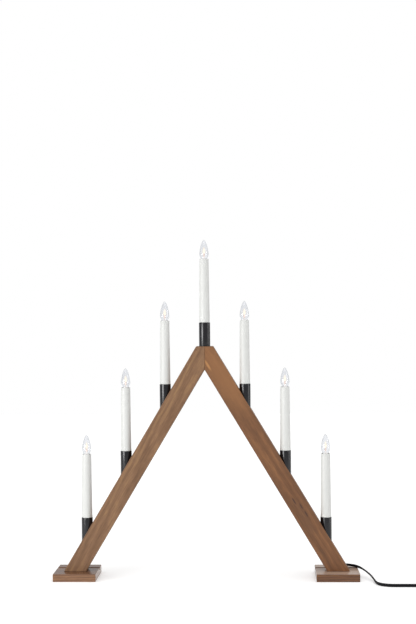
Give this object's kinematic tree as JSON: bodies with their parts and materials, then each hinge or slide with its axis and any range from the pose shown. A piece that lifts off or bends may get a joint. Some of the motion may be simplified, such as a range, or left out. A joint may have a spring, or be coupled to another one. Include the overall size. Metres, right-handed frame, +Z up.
{
  "type": "advent candlestick",
  "caption": "A-shaped wooden advent candlestick: mitred legs on flat feet, candle sleeves in black tube holders rising to the apex, flame-shaped screw bulbs, flat lead with plug.",
  "frame": {"origin": "on the table under the middle of the apex, at the centre of the feet's depth", "axes": "+Z up, +X along the row of candles to the right seen from the front, -Y towards the front"},
  "size_m": [0.7216, 0.126, 0.5313],
  "materials": {
    "stained_wood": "brown stained softwood, satin, fine grain along the leg",
    "stained_foot": "brown stained softwood, satin, grain across the part",
    "stained_cover": "brown stained strip, satin",
    "beech_dowel": "plain beech, hidden",
    "screw_steel": "zinc plated, turned",
    "wire_insulation": "thin PVC insulation",
    "black_holder": "satin black lacquer",
    "white_sleeve": "smooth moulded, half matt",
    "black_plastic": "moulded, half matt",
    "cap_brass": "rolled thread, bright",
    "clear_glass": "clear blown glass",
    "lit_filament": "glass stem with the glowing filament",
    "black_cable": "black flat twin sheath, half matt",
    "pin_steel": "nickel plated, turned"
  },
  "bodies": {
    "frame": {"left_leg": "stained_wood", "right_leg": "stained_wood", "left_foot": "stained_foot", "right_foot": "stained_foot", "apex_dowel": "beech_dowel", "left_foot_screw": "screw_steel", "right_foot_screw": "screw_steel", "left_wire_cover": "stained_cover", "right_wire_cover": "stained_cover", "wiring": "wire_insulation", "holder_1": "black_holder", "holder_2": "black_holder", "holder_3": "black_holder", "holder_4": "black_holder", "holder_5": "black_holder", "holder_6": "black_holder", "holder_7": "black_holder", "cord_grip": "black_plastic", "mains_cord": "black_cable", "cord_coil": "black_cable", "plug_lead": "black_cable", "cord_tie": "black_plastic", "plug_body": "black_plastic", "plug_pin_left": "pin_steel", "plug_pin_right": "pin_steel"},
    "candle_1": {"candle_sleeve_1": "white_sleeve", "lampholder_1": "black_plastic"},
    "bulb_rise_1": {"bulb_filament_1": "lit_filament"},
    "bulb_1": {"bulb_cap_1": "cap_brass", "bulb_glass_1": "clear_glass"},
    "candle_2": {"candle_sleeve_2": "white_sleeve", "lampholder_2": "black_plastic"},
    "bulb_rise_2": {"bulb_filament_2": "lit_filament"},
    "bulb_2": {"bulb_cap_2": "cap_brass", "bulb_glass_2": "clear_glass"},
    "candle_3": {"candle_sleeve_3": "white_sleeve", "lampholder_3": "black_plastic"},
    "bulb_rise_3": {"bulb_filament_3": "lit_filament"},
    "bulb_3": {"bulb_cap_3": "cap_brass", "bulb_glass_3": "clear_glass"},
    "candle_4": {"candle_sleeve_4": "white_sleeve", "lampholder_4": "black_plastic"},
    "bulb_rise_4": {"bulb_filament_4": "lit_filament"},
    "bulb_4": {"bulb_cap_4": "cap_brass", "bulb_glass_4": "clear_glass"},
    "candle_5": {"candle_sleeve_5": "white_sleeve", "lampholder_5": "black_plastic"},
    "bulb_rise_5": {"bulb_filament_5": "lit_filament"},
    "bulb_5": {"bulb_cap_5": "cap_brass", "bulb_glass_5": "clear_glass"},
    "candle_6": {"candle_sleeve_6": "white_sleeve", "lampholder_6": "black_plastic"},
    "bulb_rise_6": {"bulb_filament_6": "lit_filament"},
    "bulb_6": {"bulb_cap_6": "cap_brass", "bulb_glass_6": "clear_glass"},
    "candle_7": {"candle_sleeve_7": "white_sleeve", "lampholder_7": "black_plastic"},
    "bulb_rise_7": {"bulb_filament_7": "lit_filament"},
    "bulb_7": {"bulb_cap_7": "cap_brass", "bulb_glass_7": "clear_glass"}
  },
  "joints": [
    {"name": "candle_lift_1", "type": "slide", "parent": "frame", "child": "candle_1", "axis": [0, 0, 1], "range_m": [0, 0.02]},
    {"name": "bulb_lift_1", "type": "slide", "parent": "candle_1", "child": "bulb_rise_1", "axis": [0, 0, 1], "range_m": [0, 0.00912]},
    {"name": "bulb_unscrew_1", "type": "hinge", "parent": "bulb_rise_1", "child": "bulb_1", "pos_m": [-0.18808, -0.0038, 0.195], "axis": [0, 0, 1], "range_deg": [0, 1800]},
    {"name": "candle_lift_2", "type": "slide", "parent": "frame", "child": "candle_2", "axis": [0, 0, 1], "range_m": [0, 0.02]},
    {"name": "bulb_lift_2", "type": "slide", "parent": "candle_2", "child": "bulb_rise_2", "axis": [0, 0, 1], "range_m": [0, 0.00912]},
    {"name": "bulb_unscrew_2", "type": "hinge", "parent": "bulb_rise_2", "child": "bulb_2", "pos_m": [-0.12538, -0.0038, 0.29975], "axis": [0, 0, 1], "range_deg": [0, 1800]},
    {"name": "candle_lift_3", "type": "slide", "parent": "frame", "child": "candle_3", "axis": [0, 0, 1], "range_m": [0, 0.02]},
    {"name": "bulb_lift_3", "type": "slide", "parent": "candle_3", "child": "bulb_rise_3", "axis": [0, 0, 1], "range_m": [0, 0.00912]},
    {"name": "bulb_unscrew_3", "type": "hinge", "parent": "bulb_rise_3", "child": "bulb_3", "pos_m": [-0.06269, -0.0038, 0.4045], "axis": [0, 0, 1], "range_deg": [0, 1800]},
    {"name": "candle_lift_4", "type": "slide", "parent": "frame", "child": "candle_4", "axis": [0, 0, 1], "range_m": [0, 0.02]},
    {"name": "bulb_lift_4", "type": "slide", "parent": "candle_4", "child": "bulb_rise_4", "axis": [0, 0, 1], "range_m": [0, 0.00912]},
    {"name": "bulb_unscrew_4", "type": "hinge", "parent": "bulb_rise_4", "child": "bulb_4", "pos_m": [0, -0.0038, 0.5011], "axis": [0, 0, 1], "range_deg": [0, 1800]},
    {"name": "candle_lift_5", "type": "slide", "parent": "frame", "child": "candle_5", "axis": [0, 0, 1], "range_m": [0, 0.02]},
    {"name": "bulb_lift_5", "type": "slide", "parent": "candle_5", "child": "bulb_rise_5", "axis": [0, 0, 1], "range_m": [0, 0.00912]},
    {"name": "bulb_unscrew_5", "type": "hinge", "parent": "bulb_rise_5", "child": "bulb_5", "pos_m": [0.06269, -0.0038, 0.4045], "axis": [0, 0, 1], "range_deg": [0, 1800]},
    {"name": "candle_lift_6", "type": "slide", "parent": "frame", "child": "candle_6", "axis": [0, 0, 1], "range_m": [0, 0.02]},
    {"name": "bulb_lift_6", "type": "slide", "parent": "candle_6", "child": "bulb_rise_6", "axis": [0, 0, 1], "range_m": [0, 0.00912]},
    {"name": "bulb_unscrew_6", "type": "hinge", "parent": "bulb_rise_6", "child": "bulb_6", "pos_m": [0.12538, -0.0038, 0.29975], "axis": [0, 0, 1], "range_deg": [0, 1800]},
    {"name": "candle_lift_7", "type": "slide", "parent": "frame", "child": "candle_7", "axis": [0, 0, 1], "range_m": [0, 0.02]},
    {"name": "bulb_lift_7", "type": "slide", "parent": "candle_7", "child": "bulb_rise_7", "axis": [0, 0, 1], "range_m": [0, 0.00912]},
    {"name": "bulb_unscrew_7", "type": "hinge", "parent": "bulb_rise_7", "child": "bulb_7", "pos_m": [0.18808, -0.0038, 0.195], "axis": [0, 0, 1], "range_deg": [0, 1800]}
  ],
  "couplings": [
    {"joint": "bulb_lift_1", "follows": "bulb_unscrew_1", "m_per_rad": 0.00028871},
    {"joint": "bulb_lift_2", "follows": "bulb_unscrew_2", "m_per_rad": 0.00028871},
    {"joint": "bulb_lift_3", "follows": "bulb_unscrew_3", "m_per_rad": 0.00028871},
    {"joint": "bulb_lift_4", "follows": "bulb_unscrew_4", "m_per_rad": 0.00028871},
    {"joint": "bulb_lift_5", "follows": "bulb_unscrew_5", "m_per_rad": 0.00028871},
    {"joint": "bulb_lift_6", "follows": "bulb_unscrew_6", "m_per_rad": 0.00028871},
    {"joint": "bulb_lift_7", "follows": "bulb_unscrew_7", "m_per_rad": 0.00028871}
  ]
}
